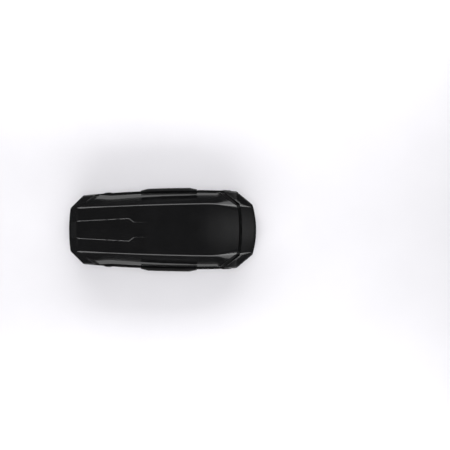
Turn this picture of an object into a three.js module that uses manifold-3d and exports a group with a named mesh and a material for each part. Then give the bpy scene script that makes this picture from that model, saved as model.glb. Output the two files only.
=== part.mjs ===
// Roof cargo box that opens from either side, with quick-mount clamps for two crossbars.
// Millimetres. +X points to the front of the car, +Y to its left, +Z up.
// The origin is the middle of the flat underside of the base tray.
import * as THREE from 'three';
import { mergeVertices } from 'three/addons/utils/BufferGeometryUtils.js';
import Module from 'manifold-3d';

const wasm = await Module();
wasm.setup();

// ---------- driving dimensions ----------
const HALF_LENGTH = 1075;        // centre to the front or rear edge of the lid
const HALF_WIDTH = 455;          // centre to the lid's side at its widest section
const WIDEST_X = 435;            // where the lid is widest
const REAR_CORNER = [-1059, 247];
const REAR_SIDE = [-910, 395];   // the rear chamfer runs between these two points
const FRONT_SIDE = [849, 441];
const FRONT_CORNER = [1033, 288];
const SPINE_HALF = 650;          // every loop round the box shrinks towards this centre line

const SKIRT_BOTTOM = 118;        // lower edge of the lid, outside the base rim
const LIP_Z = 156;               // flat lip round the foot of the lid
const LIP_WIDTH = 33;            // along the sides
const LIP_MIN = 9;               // round the ends
const BAND_SLOPE = 0.8;          // of the band between the lip and the side faces
const CREST_Z = 416;             // highest line of the top
const CROWN = 10;                // how much the top falls from its middle to the ridges
const SHELL = 4;                 // wall of the formed lid
const EDGE_BLEND = 36;           // softness of the ridges, as height
const EDGE_BLEND_FRONT = 72;     // softer just behind the groove
const PANEL_RISE = 4.5;            // raised middle panel on the rear half of the top
const GROOVE_DEPTH = 15;
const GROOVE_HALF = 17;

const FLOOR = 5;                 // thickness of the tray's floor and wall
const RIM_Z = 126;               // top of the base rim
const RIM_INSET = 24;            // lid edge to rim edge

const AXIS_Y = 412;              // hinge lines, one on each side, parallel to X
const AXIS_Z = 136;
const EYE_R = 8;                 // round ends of arms and brackets
const PIN_R = 4;
const RUN = 0.4;                 // running clearance
const GAP = 0.3;                 // clearance between pieces that touch

const STATIONS = { front: 735, rear: -628 };           // where the lifting arms cross the box
const STRIKERS = { front: 640, centre: -20, rear: -480 };
const BARS = { front: 466, rear: -299 };               // centres of the two crossbars
const CLAMP_Y = 300;
const BAR_WIDTH = 80;
const BAR_HEIGHT = 32;
const LOCK_X = 73;
const LOCK_Z = 148;
const KEY_R = 6;
const CAM_R = 17;                // throw of the lock cam
const CAM_THICK = 11.7;

// ---------- finishes ----------
const finish = (color, roughness, metalness = 0) => ({ color, roughness, metalness });
const FINISH = {
  gloss: finish(0x0b0b0c, 0.22), base: finish(0x161618, 0.75), grip: finish(0x1a1a1c, 0.5),
  nylon: finish(0x232326, 0.6), steel: finish(0x8b8f94, 0.4, 0.9), alloy: finish(0xb4b8bc, 0.35, 1),
  rubber: finish(0x101011, 0.95), chrome: finish(0xd0d2d4, 0.15, 1), knob: finish(0x3a3b3e, 0.5),
};

const group = new THREE.Group();

function add(name, geometry, look, position = [0, 0, 0]) {
  const mesh = new THREE.Mesh(geometry, new THREE.MeshStandardMaterial(FINISH[look]));
  mesh.name = name;
  mesh.position.set(...position);
  group.add(mesh);
}

// ---------- joining and cutting ----------
function solid(geometry) {
  const plain = geometry.clone();
  plain.deleteAttribute('normal');
  plain.deleteAttribute('uv');
  const merged = mergeVertices(plain, 1e-3);
  return new wasm.Manifold(new wasm.Mesh({
    numProp: 3,
    vertProperties: new Float32Array(merged.attributes.position.array),
    triVerts: new Uint32Array(merged.index.array),
  }));
}

function toGeometry(manifold) {
  const mesh = manifold.getMesh();
  const geometry = new THREE.BufferGeometry();
  geometry.setAttribute('position', new THREE.BufferAttribute(mesh.vertProperties, 3));
  geometry.setIndex(new THREE.BufferAttribute(mesh.triVerts, 1));
  geometry.computeVertexNormals();
  return geometry;
}

function join(first, ...rest) {
  return toGeometry(rest.reduce((sum, piece) => sum.add(solid(piece)), solid(first)));
}

function cut(first, ...cutters) {
  return toGeometry(cutters.reduce((left, cutter) => left.subtract(solid(cutter)), solid(first)));
}

// ---------- simple shapes ----------
function box(x0, x1, y0, y1, z0, z1) {
  const geometry = new THREE.BoxGeometry(x1 - x0, y1 - y0, z1 - z0);
  return geometry.translate((x0 + x1) / 2, (y0 + y1) / 2, (z0 + z1) / 2);
}

function extrude(points, depth, holes = []) {
  const shape = new THREE.Shape(points.map(([u, v]) => new THREE.Vector2(u, v)));
  shape.holes = holes.map(([u, v, r]) => new THREE.Path().absarc(u, v, r, 0, Math.PI * 2, true));
  return new THREE.ExtrudeGeometry(shape, { depth, bevelEnabled: false, curveSegments: 10 });
}

const TO_X = new THREE.Matrix4().set(0, 0, 1, 0, 1, 0, 0, 0, 0, 1, 0, 0, 0, 0, 0, 1);
const TO_Y = new THREE.Matrix4().set(0, 1, 0, 0, 0, 0, 1, 0, 1, 0, 0, 0, 0, 0, 0, 1);

// A plate drawn as (y, z) points and made thick along X, or drawn as (z, x) and made thick along Y.
function plateX(points, x0, x1, holes) {
  return extrude(points, x1 - x0, holes).applyMatrix4(TO_X).translate(x0, 0, 0);
}

function plateY(points, y0, y1) {
  return extrude(points, y1 - y0).applyMatrix4(TO_Y).translate(0, y0, 0);
}

// A round bar along X.
function rod(r, from, to, y, z) {
  const geometry = new THREE.CylinderGeometry(r, r, to - from, 12).rotateZ(Math.PI / 2);
  return geometry.translate((from + to) / 2, y, z);
}

const ordered = (a, b) => [Math.min(a, b), Math.max(a, b)];

const circle = (u, v, r, count = 12) => Array.from({ length: count }, (_, i) => {
  const angle = (i + 0.5) / count * Math.PI * 2;
  return [u + r * Math.cos(angle), v + r * Math.sin(angle)];
});

const turn = (a, b, c) => (b[0] - a[0]) * (c[1] - a[1]) - (b[1] - a[1]) * (c[0] - a[0]);

// Convex outline round a set of points, counter-clockwise.
function wrap(points) {
  const sorted = [...points].sort((a, b) => a[0] - b[0] || a[1] - b[1]);
  const side = (list) => {
    const hull = [];
    for (const p of list) {
      while (hull.length > 1 && turn(hull.at(-2), hull.at(-1), p) <= 1e-6) hull.pop();
      hull.push(p);
    }
    return hull.slice(0, -1);
  };
  return [...side(sorted), ...side(sorted.reverse())];
}

// ---------- the box in plan ----------
const { clamp, lerp, mapLinear, smoothstep } = THREE.MathUtils;

// Half-width of the lid's edge along the side.
function sideY(x) {
  const back = (WIDEST_X - x) / (WIDEST_X - REAR_SIDE[0]);
  const ahead = (x - WIDEST_X) / (FRONT_SIDE[0] - WIDEST_X);
  return back > 0 ? HALF_WIDTH - (HALF_WIDTH - REAR_SIDE[1]) * back ** 2.2
    : HALF_WIDTH - (HALF_WIDTH - FRONT_SIDE[1]) * ahead ** 2;
}

// The lid bulges a little where the lifting arms are hinged.
const BULGE = { front: 6, rear: 8 };
const BULGE_HALF = { front: 45, rear: 33 };
const BULGE_RAMP = 9;
const bulgeXs = Object.keys(STATIONS).flatMap((end) => [-1, 1].flatMap((s) =>
  [0, BULGE_RAMP].map((ramp) => STATIONS[end] + s * (BULGE_HALF[end] + ramp))));

function bulge(x) {
  return Object.keys(STATIONS).reduce((sum, end) => {
    const beyond = Math.abs(x - STATIONS[end]) - BULGE_HALF[end];
    return sum + BULGE[end] * Math.min(Math.max(1 - beyond / BULGE_RAMP, 0), 1);
  }, 0);
}

const GRIP = { rear: -249, fullFrom: -165, fullTo: 310, front: 395, reach: 25.5, endReach: 8 };
const GRIP_XS = [GRIP.rear, GRIP.fullFrom, -140, 30, 220, 285, GRIP.fullTo, GRIP.front];
const SIDE_XS = [...bulgeXs, ...GRIP_XS, -820, -740, -480, -370, 500, 590].sort((a, b) => a - b);

// Points of the lid's edge, counter-clockwise seen from above, starting at the middle of the rear.
function edge(withBulges) {
  const between = (a, b, t) => [lerp(a[0], b[0], t), lerp(a[1], b[1], t)];
  const bow = (corner, t) => [lerp(Math.sign(corner[0]) * HALF_LENGTH, corner[0], t * t), corner[1] * t];
  const chamfer = (from, to) => [0, 0.33, 0.67, 1].map((t) => between(from, to, t));
  const left = [
    ...[0.3, 0.42, 0.7].map((t) => bow(REAR_CORNER, t)),
    ...chamfer(REAR_CORNER, REAR_SIDE),
    ...SIDE_XS.map((x) => [x, sideY(x) + (withBulges ? bulge(x) : 0)]),
    ...chamfer(FRONT_SIDE, FRONT_CORNER),
    ...[0.75, 0.5, 0.25].map((t) => bow(FRONT_CORNER, t)),
  ];
  const right = left.map(([x, y]) => [x, -y]);
  return [[-HALF_LENGTH, 0], ...right, [HALF_LENGTH, 0], ...left.reverse()];
}

// A loop moved inwards by a share: 0 is the loop itself, 1 the centre line of the box.
const INSET_UNIT = 450;
const inset = (mm) => mm / INSET_UNIT;
function shrink(points, share) {
  return points.map(([x, y]) => {
    const towards = clamp(x, -SPINE_HALF, SPINE_HALF);
    return [x + (towards - x) * share, y * (1 - share)];
  });
}

// Closed skin through loops of equal length; the first and last loop are capped flat.
function skin(loops) {
  const count = loops[0].length;
  const index = [];
  for (let k = 0; k + 1 < loops.length; k += 1) {
    for (let i = 0; i < count; i += 1) {
      const [a, b] = [k * count + i, k * count + (i + 1) % count];
      index.push(a, b, b + count, a, b + count, a + count);
    }
  }
  const cap = THREE.ShapeUtils.triangulateShape(loops[0].map(([x, y]) => new THREE.Vector2(x, y)), []);
  const last = (loops.length - 1) * count;
  for (const [a, b, c] of cap) index.push(c, b, a, last + a, last + b, last + c);
  const geometry = new THREE.BufferGeometry();
  geometry.setAttribute('position', new THREE.Float32BufferAttribute(loops.flat(2), 3));
  geometry.setIndex(index);
  geometry.computeVertexNormals();
  return geometry;
}

// Gives a flat loop its height: a number, or a function of x and y.
function lift(loop, height) {
  return loop.map(([x, y]) => [x, y, typeof height === 'number' ? height : height(x, y)]);
}

// ---------- height of the lid's outer surface ----------
const softMin = (a, b, k) => Math.min(a, b) - Math.max(k - Math.abs(a - b), 0) ** 2 / (4 * k);
const softStep = (from, to, x) => smoothstep(x, from, to);
const softRamp = (x, from, to) => clamp((x - from) / (to - from), 0, 1);

// The two ridges along the top are RIDGE.y from the middle at RIDGE.x and draw in towards both ends.
const RIDGE = { x: 544, y: 301, rearLength: 1471, rearIn: 48, frontLength: 491, frontIn: 39 };
function ridgeY(x) {
  const back = (RIDGE.x - x) / RIDGE.rearLength;
  const ahead = (x - RIDGE.x) / RIDGE.frontLength;
  return back > 0 ? RIDGE.y - RIDGE.rearIn * back ** 1.5 : RIDGE.y - RIDGE.frontIn * ahead ** 2;
}

// The top's centre line is level in the middle and falls towards both ends.
const CREST = { rearX: -150, rearLength: 800, rearFall: 18, frontX: 400, frontLength: 635, frontFall: 145 };
function crestZ(x) {
  const back = Math.max((CREST.rearX - x) / CREST.rearLength, 0);
  const ahead = Math.max((x - CREST.frontX) / CREST.frontLength, 0);
  return CREST_Z - CREST.rearFall * back ** 2 - CREST.frontFall * ahead ** 1.6;
}

// Half-width of the raised panel: it widens from the rear, then necks in and fades out.
const PANEL = { rearX: -927, rearY: 98, wideX: -375, wideY: 127, neckX: -306, neckY: 86, fade: [-230, -20] };
function panelY(x) {
  const straight = mapLinear(x, PANEL.rearX, PANEL.wideX, PANEL.rearY, PANEL.wideY);
  return lerp(straight, PANEL.neckY, softStep(PANEL.wideX, PANEL.neckX, x));
}

// Half-width of the lid's edge at any x, chamfers included.
function edgeY(x) {
  const [from, to] = x < 0 ? [REAR_CORNER, REAR_SIDE] : [FRONT_SIDE, FRONT_CORNER];
  const onSide = x > REAR_SIDE[0] && x < FRONT_SIDE[0];
  return onSide ? sideY(x) : mapLinear(x, from[0], to[0], from[1], to[1]);
}

// Centre lines of the grooves: one parts the nose from the rest of the top, a shorter one
// marks off each rear corner.
const GROOVE = [[676, 440], [711, 406], [868, 280], [880, 245], [890, 140], [895, 0]];
const REAR_GROOVE = [[-722, 430], [-740, 400], [-905, 285]];
function distanceTo(line, x, y) {
  return Math.min(...line.slice(1).map(([bx, by], i) => {
    const [ax, ay] = line[i];
    const t = ((x - ax) * (bx - ax) + (y - ay) * (by - ay)) / ((bx - ax) ** 2 + (by - ay) ** 2);
    const s = clamp(t, 0, 1);
    return Math.hypot(x - ax - (bx - ax) * s, y - ay - (by - ay) * s);
  }));
}

// Side of the lid: lip, sloped band, then side face up to the ridge. The band widens into the
// rear corner facet, and towards the nose band and side face become one facet.
const NOSE_START = [600, 720];
const LIP_START = [-790, -560];
const BAND = { rearX: -605, rearWidth: 44, frontX: 544, frontWidth: 25 };
const CREASE = { x: -755, slope: 0.583, reach: 95 };
function sideFace(x, y) {
  const ridge = ridgeY(x);
  const ridgeZ = crestZ(x) - CROWN;
  const nose = softStep(...NOSE_START, x);
  const lip = lerp(LIP_MIN, LIP_WIDTH, softStep(...LIP_START, x) * (1 - nose));
  const outer = edgeY(x) - lip;
  const width = mapLinear(x, BAND.rearX, BAND.frontX, BAND.rearWidth, BAND.frontWidth);
  const bandWidth = clamp(width, BAND.frontWidth, BAND.rearWidth);
  const bandTop = LIP_Z + BAND_SLOPE * bandWidth;
  let inner = outer - bandWidth;
  let innerZ = bandTop;
  if (x < CREASE.x) {
    inner = Math.max(ridge, inner + (x - CREASE.x) * CREASE.slope);
    innerZ = ridgeZ - (ridgeZ - bandTop) * Math.min((inner - ridge) / CREASE.reach, 1);
  }
  const straight = LIP_Z + (ridgeZ - LIP_Z) * (outer - inner) / (outer - ridge);
  innerZ = lerp(innerZ, straight, nose);
  const band = LIP_Z + (outer - y) * (innerZ - LIP_Z) / (outer - inner);
  const face = innerZ + (inner - y) * (ridgeZ - innerZ) / Math.max(inner - ridge, 1);
  return inner - ridge < 2 ? band : Math.max(band, face);
}

// The rear end: a steep face, then a gently sloped strip, both further back in the middle.
const END_BLEND = 12;            // softness of the edges at both ends, as height
const REAR = {
  proud: 28, proudY: [88, 104], stripX: -945, stripZ: 392, stripSlope: 0.66, run: 86, rise: 213,
};
function rearEnd(x, y) {
  const proud = REAR.proud * (1 - softStep(...REAR.proudY, y));
  const strip = REAR.stripZ + (x - REAR.stripX + proud) * REAR.stripSlope;
  const bow = (HALF_LENGTH + REAR_CORNER[0]) * (y / REAR_CORNER[1]) ** 2;
  const face = LIP_Z + (x + HALF_LENGTH - LIP_MIN - bow) * REAR.rise / (REAR.run - proud);
  return softMin(strip, face, END_BLEND);
}

const NOSE_STEEPNESS = 8;
function noseFace(x, y) {
  const bow = (HALF_LENGTH - FRONT_CORNER[0]) * (y / FRONT_CORNER[1]) ** 2;
  return LIP_Z + (HALF_LENGTH - LIP_MIN - bow - x) * NOSE_STEEPNESS;
}

const PANEL_STEP = 7;            // half-width of the step round the raised panel
const RIDGE_SOFT_X = [560, 840]; // where the ridges get softer, and where that ends
const RIDGE_SOFT_END = [870, 900];

// How deep the grooves are at a point. The front one is wider and deeper beyond the ridges, and
// the rear ones run out towards the rear.
const GROOVE_WALL = 9;
const SHOULDER_Y = [270, 300];
const SHOULDER_WIDEN = 5;
const REAR_GROOVE_FADE = [-915, -760];
function grooveDepth(x, y) {
  const channel = (distance, half) => 1 - softStep(half - GROOVE_WALL, half, distance);
  const shoulder = softStep(...SHOULDER_Y, y);
  const full = softStep(...REAR_GROOVE_FADE, x);
  const front = channel(distanceTo(GROOVE, x, y), GROOVE_HALF + SHOULDER_WIDEN * shoulder);
  const rear = channel(distanceTo(REAR_GROOVE, x, y), GROOVE_HALF * lerp(0.6, 1, full));
  return GROOVE_DEPTH * Math.max(front * (1 + shoulder), rear * full);
}

function lidZ(x, signedY) {
  const y = Math.abs(signedY);
  const onPanel = 1 - softStep(panelY(x) - PANEL_STEP, panelY(x) + PANEL_STEP, y);
  const panel = onPanel * (1 - softStep(...PANEL.fade, x));
  const soft = softStep(...RIDGE_SOFT_X, x) * (1 - softStep(...RIDGE_SOFT_END, x));
  let z = crestZ(x) - CROWN * (y / ridgeY(x)) ** 2 + PANEL_RISE * panel;
  z = softMin(z, sideFace(x, y), lerp(EDGE_BLEND, EDGE_BLEND_FRONT, soft));
  z = softMin(z, rearEnd(x, y), END_BLEND);
  z = softMin(z, noseFace(x, y), END_BLEND);
  return Math.max(z - grooveDepth(x, y), LIP_Z);
}

// ---------- lid ----------
const LID_LEVELS = [10, 21, 33, 50, 66, 90, 115, 135, 148, 158, 172, 200, 260, 340, 400, 440].map(inset);

function lidShell() {
  const rim = edge(true);
  const wall = inset(SHELL);
  const outside = [
    lift(rim, SKIRT_BOTTOM), lift(rim, LIP_Z - 3), lift(shrink(rim, inset(3)), LIP_Z),
    ...LID_LEVELS.map((level) => lift(shrink(rim, level), lidZ)),
  ];
  // The inside follows the outside one wall thickness in and one wall thickness down.
  const inside = LID_LEVELS.map((level) => {
    const above = shrink(rim, level - wall);
    return shrink(rim, level).map(([x, y], i) => [x, y, lidZ(...above[i]) - SHELL]);
  });
  const foot = [lift(shrink(rim, wall), SKIRT_BOTTOM), lift(shrink(rim, wall), LIP_Z - SHELL)];
  const shell = skin([...inside.reverse(), ...foot.reverse(), ...outside]);
  const keyHoles = [-1, 1].map((s) => lockRod(KEY_R + 0.6, 380, 470, s));
  return cut(shell, ...keyHoles);
}

// A round bar across the box at the lock's place, from y0 to y1 on one side.
function lockRod(r, y0, y1, s) {
  const geometry = new THREE.CylinderGeometry(r, r, y1 - y0, 16);
  return geometry.translate(LOCK_X, s * (y0 + y1) / 2, LOCK_Z);
}

// ---------- base tray ----------
const SLOT_NEAR = 31;            // clamp slots in the floor, from the middle of a crossbar
const SLOT_FAR = 66;
const SLOT_HALF_Y = 26;
const CHANNEL_Y = 58;            // shallow stiffening channels along the underside
const CHANNEL_END = 790;
const CHANNEL_HALF = 12;
const CHANNEL_DEPTH = 2;

function baseTray() {
  const rim = edge(false);
  const profile = [
    [90, 0], [74, 10], [46, 100], [38, RIM_Z - 5], [RIM_INSET, RIM_Z - 5], [RIM_INSET, RIM_Z],
    [43, RIM_Z], [51, 100], [79, 15], [94, FLOOR],
  ];
  const tray = skin(profile.map(([mm, z]) => lift(shrink(rim, inset(mm)), z)));
  const slots = Object.values(BARS).flatMap((x) => [-1, 1].flatMap((s) => [-1, 1].map((end) => {
    const along = ordered(x + end * SLOT_NEAR, x + end * SLOT_FAR);
    const y = s * CLAMP_Y;
    return box(...along, y - SLOT_HALF_Y, y + SLOT_HALF_Y, -10, 20);
  })));
  const channels = [-1, 1].map((side) => {
    const y = side * CHANNEL_Y;
    return box(-CHANNEL_END, CHANNEL_END, y - CHANNEL_HALF, y + CHANNEL_HALF, -1, CHANNEL_DEPTH);
  });
  return cut(tray, ...slots, ...channels);
}

const RAIL = { y: 235, rear: -620, front: 760, half: 12, height: 14, wall: 2.5 };
function floorRail(s) {
  const y = s * RAIL.y;
  const inner = RAIL.half - RAIL.wall;
  const outer = box(RAIL.rear, RAIL.front, y - RAIL.half, y + RAIL.half, FLOOR + GAP, FLOOR + RAIL.height);
  const [low, high] = [FLOOR + GAP + RAIL.wall, FLOOR + RAIL.height - RAIL.wall];
  return cut(outer, box(RAIL.rear - 10, RAIL.front + 10, y - inner, y + inner, low, high));
}

// ---------- lifting arms, their brackets, pins and springs ----------
// Along X from a station's middle: two arms either side of the spring space, then the cheeks.
const ARM_NEAR = 10;
const ARM_FAR = 24;
const CHEEK_NEAR = 25;
const CHEEK_FAR = 30;

const ARM_HALF = 4;              // half the height of an arm between its eyes

// An arm across the box: a round eye with a hole at each hinge line, and a straight bar between.
function liftingArm(x, end) {
  const eyes = [-AXIS_Y, AXIS_Y];
  const steps = 8;
  const outline = eyes.flatMap((y) => {
    const outward = Math.sign(y);
    const sweep = Math.PI - Math.asin(ARM_HALF / EYE_R);
    return Array.from({ length: steps + 1 }, (_, i) => {
      const angle = (2 * i / steps - 1) * sweep;
      return [y + outward * EYE_R * Math.cos(angle), AXIS_Z + outward * EYE_R * Math.sin(angle)];
    });
  });
  const holes = eyes.map((y) => [y, AXIS_Z, PIN_R + RUN]);
  return plateX(outline, ...ordered(x + end * ARM_NEAR, x + end * ARM_FAR), holes);
}

// Pads lie on the base rim or under the lid's lip; from and to are measured in from the lid's edge.
const BASE_PAD = { from: 41, to: 27, z0: RIM_Z + GAP, z1: RIM_Z + 4 };
const LID_PAD = { from: 31, to: 14, z0: LIP_Z - SHELL - GAP - 4, z1: LIP_Z - SHELL - GAP };
const PAD_END = 58;

// Outline of a plate that holds something on the hinge line: an eye joined to further points,
// as (y, z) on the side s of the box.
function eyePlate(points, s) {
  const outline = wrap([...circle(AXIS_Y, AXIS_Z, EYE_R), ...points]).map(([y, z]) => [s * y, z]);
  return s < 0 ? outline.reverse() : outline;
}

// A plate round the hinge line, its flat pad and its pin; plate, foot and pin are spans along X.
function footed(x, s, pad, plate, foot, pin) {
  const across = [sideY(x) - pad.from, sideY(x) - pad.to];
  const corners = across.flatMap((y) => [[y, pad.z0], [y, pad.z1]]);
  return join(
    plateX(eyePlate(corners, s), ...plate),
    box(...foot, ...ordered(s * across[0], s * across[1]), pad.z0, pad.z1),
    rod(PIN_R, ...pin, s * AXIS_Y, AXIS_Z),
  );
}

// end is the side of the station, along X, that the bracket stands on; its pin starts at pinInner.
function bracket(x, end, s, pad, pinInner) {
  const span = (a, b) => ordered(x + end * a, x + end * b);
  return footed(x, s, pad, span(CHEEK_NEAR, CHEEK_FAR), span(CHEEK_NEAR, PAD_END), span(pinInner, CHEEK_FAR));
}

function armSpring(x, s) {
  const ring = [[PIN_R + 1, -8.5], [EYE_R, -8.5], [EYE_R, 8.5], [PIN_R + 1, 8.5], [PIN_R + 1, -8.5]];
  const geometry = new THREE.LatheGeometry(ring.map(([r, h]) => new THREE.Vector2(r, h)), 12);
  return geometry.rotateZ(-Math.PI / 2).translate(x, s * AXIS_Y, AXIS_Z);
}

// ---------- locks ----------
const STUB = 18;                 // length of a striker's pin
const CLAW_PLATE = 6;
const CLAW_REST = 34;            // claw's rear face behind the striker at rest
const BAR_Y = 332;               // middle of the lock bar
const BAR_HALF_Y = 4;
const BAR_Z = [150, 162];

function striker(x, s) {
  return footed(x, s, BASE_PAD, [x, x + 6], [x, x + 34], [x - STUB, x + 6]);
}

// Flat bar under the lid with a claw at each striker; each claw's eye slides over its pin.
function lockBar(s) {
  const xs = Object.values(STRIKERS);
  const [inner, outer] = [BAR_Y - BAR_HALF_Y, BAR_Y + BAR_HALF_Y];
  const bar = box(Math.min(...xs) - 46, Math.max(...xs) - 20, ...ordered(s * inner, s * outer), ...BAR_Z);
  const root = [[inner, BAR_Z[0]], [inner, BAR_Z[1]], [BAR_Y + 12, BAR_Z[1]]];
  const claws = xs.map((x) => {
    const start = x - CLAW_REST;
    return plateX(eyePlate(root, s), start, start + CLAW_PLATE, [[s * AXIS_Y, AXIS_Z, PIN_R + 1.2]]);
  });
  return join(bar, ...claws);
}

const LOCK_HOUSING = { near: 352, far: 375, half: 28, low: 134, high: 163 };
const KEY_END = 478;
const KEY_SLOT = { half: 1, tall: 4, deep: 4 };

function lockHousing(s) {
  const { near, far, half, low, high } = LOCK_HOUSING;
  const block = box(LOCK_X - half, LOCK_X + half, ...ordered(s * near, s * far), low, high);
  return cut(block, lockRod(KEY_R + 1, near - 12, far + 25, s));
}

function keyCylinder(s) {
  const { half, tall, deep } = KEY_SLOT;
  const across = ordered(s * (KEY_END - deep), s * (KEY_END + 2));
  const slot = box(LOCK_X - half, LOCK_X + half, ...across, LOCK_Z - tall, LOCK_Z + tall);
  return cut(lockRod(KEY_R, LOCK_HOUSING.near - 1, KEY_END, s), slot);
}

// The cam stands up from the key cylinder, 45 degrees back at rest, and swings to 45 degrees ahead.
function lockCam(s) {
  const tip = [LOCK_Z + CAM_R * Math.SQRT1_2, LOCK_X - CAM_R * Math.SQRT1_2];
  const outline = wrap([...circle(LOCK_Z, LOCK_X, KEY_R + 1, 10), ...circle(...tip, 4, 8)]);
  const end = LOCK_HOUSING.near - 1 - GAP;
  return plateY(outline, ...ordered(s * (end - CAM_THICK), s * end));
}

// ---------- side grips ----------
// How far the grip stands out past the lid's edge: full in the middle, less at its ends.
function gripReach(x) {
  const rise = softRamp(x, GRIP.rear, GRIP.fullFrom) * softRamp(x, GRIP.front, GRIP.fullTo);
  return lerp(GRIP.endReach, GRIP.reach, rise);
}

// Lofts a (y, z) section along X through the given stations.
function loft(xs, section, s) {
  const sections = xs.map((x) => section(x).map(([y, z]) => [x, s * y, z]));
  const count = sections[0].length;
  const index = [];
  const tri = (a, b, c) => index.push(...(s > 0 ? [a, b, c] : [a, c, b]));
  for (let k = 0; k + 1 < sections.length; k += 1) {
    for (let i = 0; i < count; i += 1) {
      const [a, b] = [k * count + i, k * count + (i + 1) % count];
      tri(a, b, b + count);
      tri(a, b + count, a + count);
    }
  }
  const flat = section(xs[0]).map(([y, z]) => new THREE.Vector2(y, z));
  const last = (sections.length - 1) * count;
  for (const [a, b, c] of THREE.ShapeUtils.triangulateShape(flat, [])) {
    tri(c, b, a);
    tri(last + a, last + b, last + c);
  }
  const geometry = new THREE.BufferGeometry();
  geometry.setAttribute('position', new THREE.Float32BufferAttribute(sections.flat(2), 3));
  geometry.setIndex(index);
  return geometry;
}

const GRIP_TOP = 176;
const GRIP_CHAMFER = [7, 8];     // across and down, on the grip's upper outer edge
const GRIP_TONGUE = [28, 2];     // length over the lid's lip, thickness at its tip
const FINGER_TOP = 150;
const FINGER_WALL = 6;
const FINGER_HOLLOWS = [[-140, 30, 50], [96, 220, 285]];  // one on each side of the lock

function sideGrip(s) {
  const edges = (x) => [sideY(x), sideY(x) + gripReach(x)];
  const body = (x) => {
    const [lid, out] = edges(x);
    const [across, down] = GRIP_CHAMFER;
    const [tongue, tip] = GRIP_TONGUE;
    return [
      [lid + 2, SKIRT_BOTTOM], [out, SKIRT_BOTTOM], [out, GRIP_TOP - down], [out - across, GRIP_TOP],
      [lid - 6, GRIP_TOP], [lid - tongue, LIP_Z + 1 + tip], [lid - tongue, LIP_Z + 1], [lid + 2, LIP_Z + 1],
    ];
  };
  const fingers = (x) => {
    const [lid, out] = edges(x);
    const [inner, outer, low] = [lid - 2, out - FINGER_WALL, SKIRT_BOTTOM - 10];
    return [[inner, low], [outer, low], [outer, FINGER_TOP], [inner, FINGER_TOP]];
  };
  const hollows = FINGER_HOLLOWS.map((xs) => loft(xs, fingers, s));
  return cut(loft(GRIP_XS, body, s), ...hollows, lockRod(KEY_R + 0.6, 380, 500, s));
}

// ---------- crossbar clamps ----------
const HOUSING_TOP = 52;
const JAW_ARM = [BAR_WIDTH / 2 + 1, BAR_WIDTH / 2 + 9];
const JAW_BOTTOM = -BAR_HEIGHT - 15;

const HOUSING = { halfX: 80, halfY: 42, wall: 5 };
const SHAFT_R = 10;
const KNOB = { lobes: 6, r: 29, wave: 3, height: 24 };

// A round upright bar in the middle of a clamp.
function upright(r, z0, z1) {
  const geometry = new THREE.CylinderGeometry(r, r, z1 - z0, 16).rotateX(Math.PI / 2);
  return geometry.translate(0, 0, (z0 + z1) / 2);
}

function clampHousing() {
  const { halfX, halfY, wall } = HOUSING;
  const shell = box(-halfX, halfX, -halfY, halfY, FLOOR + GAP, HOUSING_TOP);
  const hollow = box(wall - halfX, halfX - wall, wall - halfY, halfY - wall, 0, HOUSING_TOP - wall);
  return cut(shell, hollow, upright(SHAFT_R + 1, HOUSING_TOP - 10, HOUSING_TOP + 10));
}

function clampKnob() {
  const points = Array.from({ length: 36 }, (_, i) => {
    const angle = i / 36 * Math.PI * 2;
    const r = KNOB.r + KNOB.wave * Math.cos(KNOB.lobes * angle);
    return [r * Math.cos(angle), r * Math.sin(angle)];
  });
  const head = extrude(points, KNOB.height).translate(0, 0, HOUSING_TOP + 1);
  return join(head, upright(SHAFT_R, HOUSING_TOP - 20, HOUSING_TOP + 4));
}

// Jaw for one side of the crossbar: a carriage in the housing, an arm through the floor, a hook.
function clampJaw(end) {
  const span = (a, b) => ordered(end * a, end * b);
  const carriage = box(...span(11, JAW_ARM[1]), -20, 20, 12, 24);
  const arm = box(...span(...JAW_ARM), -22, 22, JAW_BOTTOM, 18);
  const hook = box(...span(BAR_WIDTH / 2 - 16, JAW_ARM[1]), -22, 22, JAW_BOTTOM, JAW_BOTTOM + 9);
  return join(arm, carriage, hook);
}

const barPad = () => box(-28, 28, -28, 28, -4 - GAP, -GAP);

// ---------- assembly ----------
add('base_tray', baseTray(), 'base');
add('lid_shell', lidShell(), 'gloss');
for (const [side, s] of [['left', 1], ['right', -1]]) {
  add(`${side}_floor_rail`, floorRail(s), 'alloy');
  add(`${side}_grip`, sideGrip(s), 'grip');
  add(`${side}_lock_housing`, lockHousing(s), 'nylon');
  add(`${side}_key_cylinder`, keyCylinder(s), 'chrome');
  add(`${side}_lock_cam`, lockCam(s), 'steel');
  add(`${side}_lock_bar`, lockBar(s), 'steel');
  for (const [end, x] of Object.entries(STRIKERS)) add(`${side}_${end}_striker`, striker(x, s), 'steel');
  for (const [end, x] of Object.entries(STATIONS)) {
    add(`${side}_${end}_base_bracket`, bracket(x, -s, s, BASE_PAD, -8.5), 'steel');
    add(`${side}_${end}_lid_bracket`, bracket(x, s, s, LID_PAD, 9.5), 'steel');
    add(`${side}_${end}_spring`, armSpring(x, s), 'steel');
  }
  for (const [end, x] of Object.entries(BARS)) {
    const place = [x, s * CLAMP_Y, 0];
    add(`${side}_${end}_clamp_housing`, clampHousing(), 'nylon', place);
    add(`${side}_${end}_clamp_knob`, clampKnob(), 'knob', place);
    add(`${side}_${end}_clamp_front_jaw`, clampJaw(1), 'nylon', place);
    add(`${side}_${end}_clamp_rear_jaw`, clampJaw(-1), 'nylon', place);
    add(`${side}_${end}_bar_pad`, barPad(), 'rubber', place);
  }
}
for (const [end, x] of Object.entries(STATIONS)) {
  add(`${end}_arm_a`, liftingArm(x, 1), 'steel');
  add(`${end}_arm_b`, liftingArm(x, -1), 'steel');
}

export default group;
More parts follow.
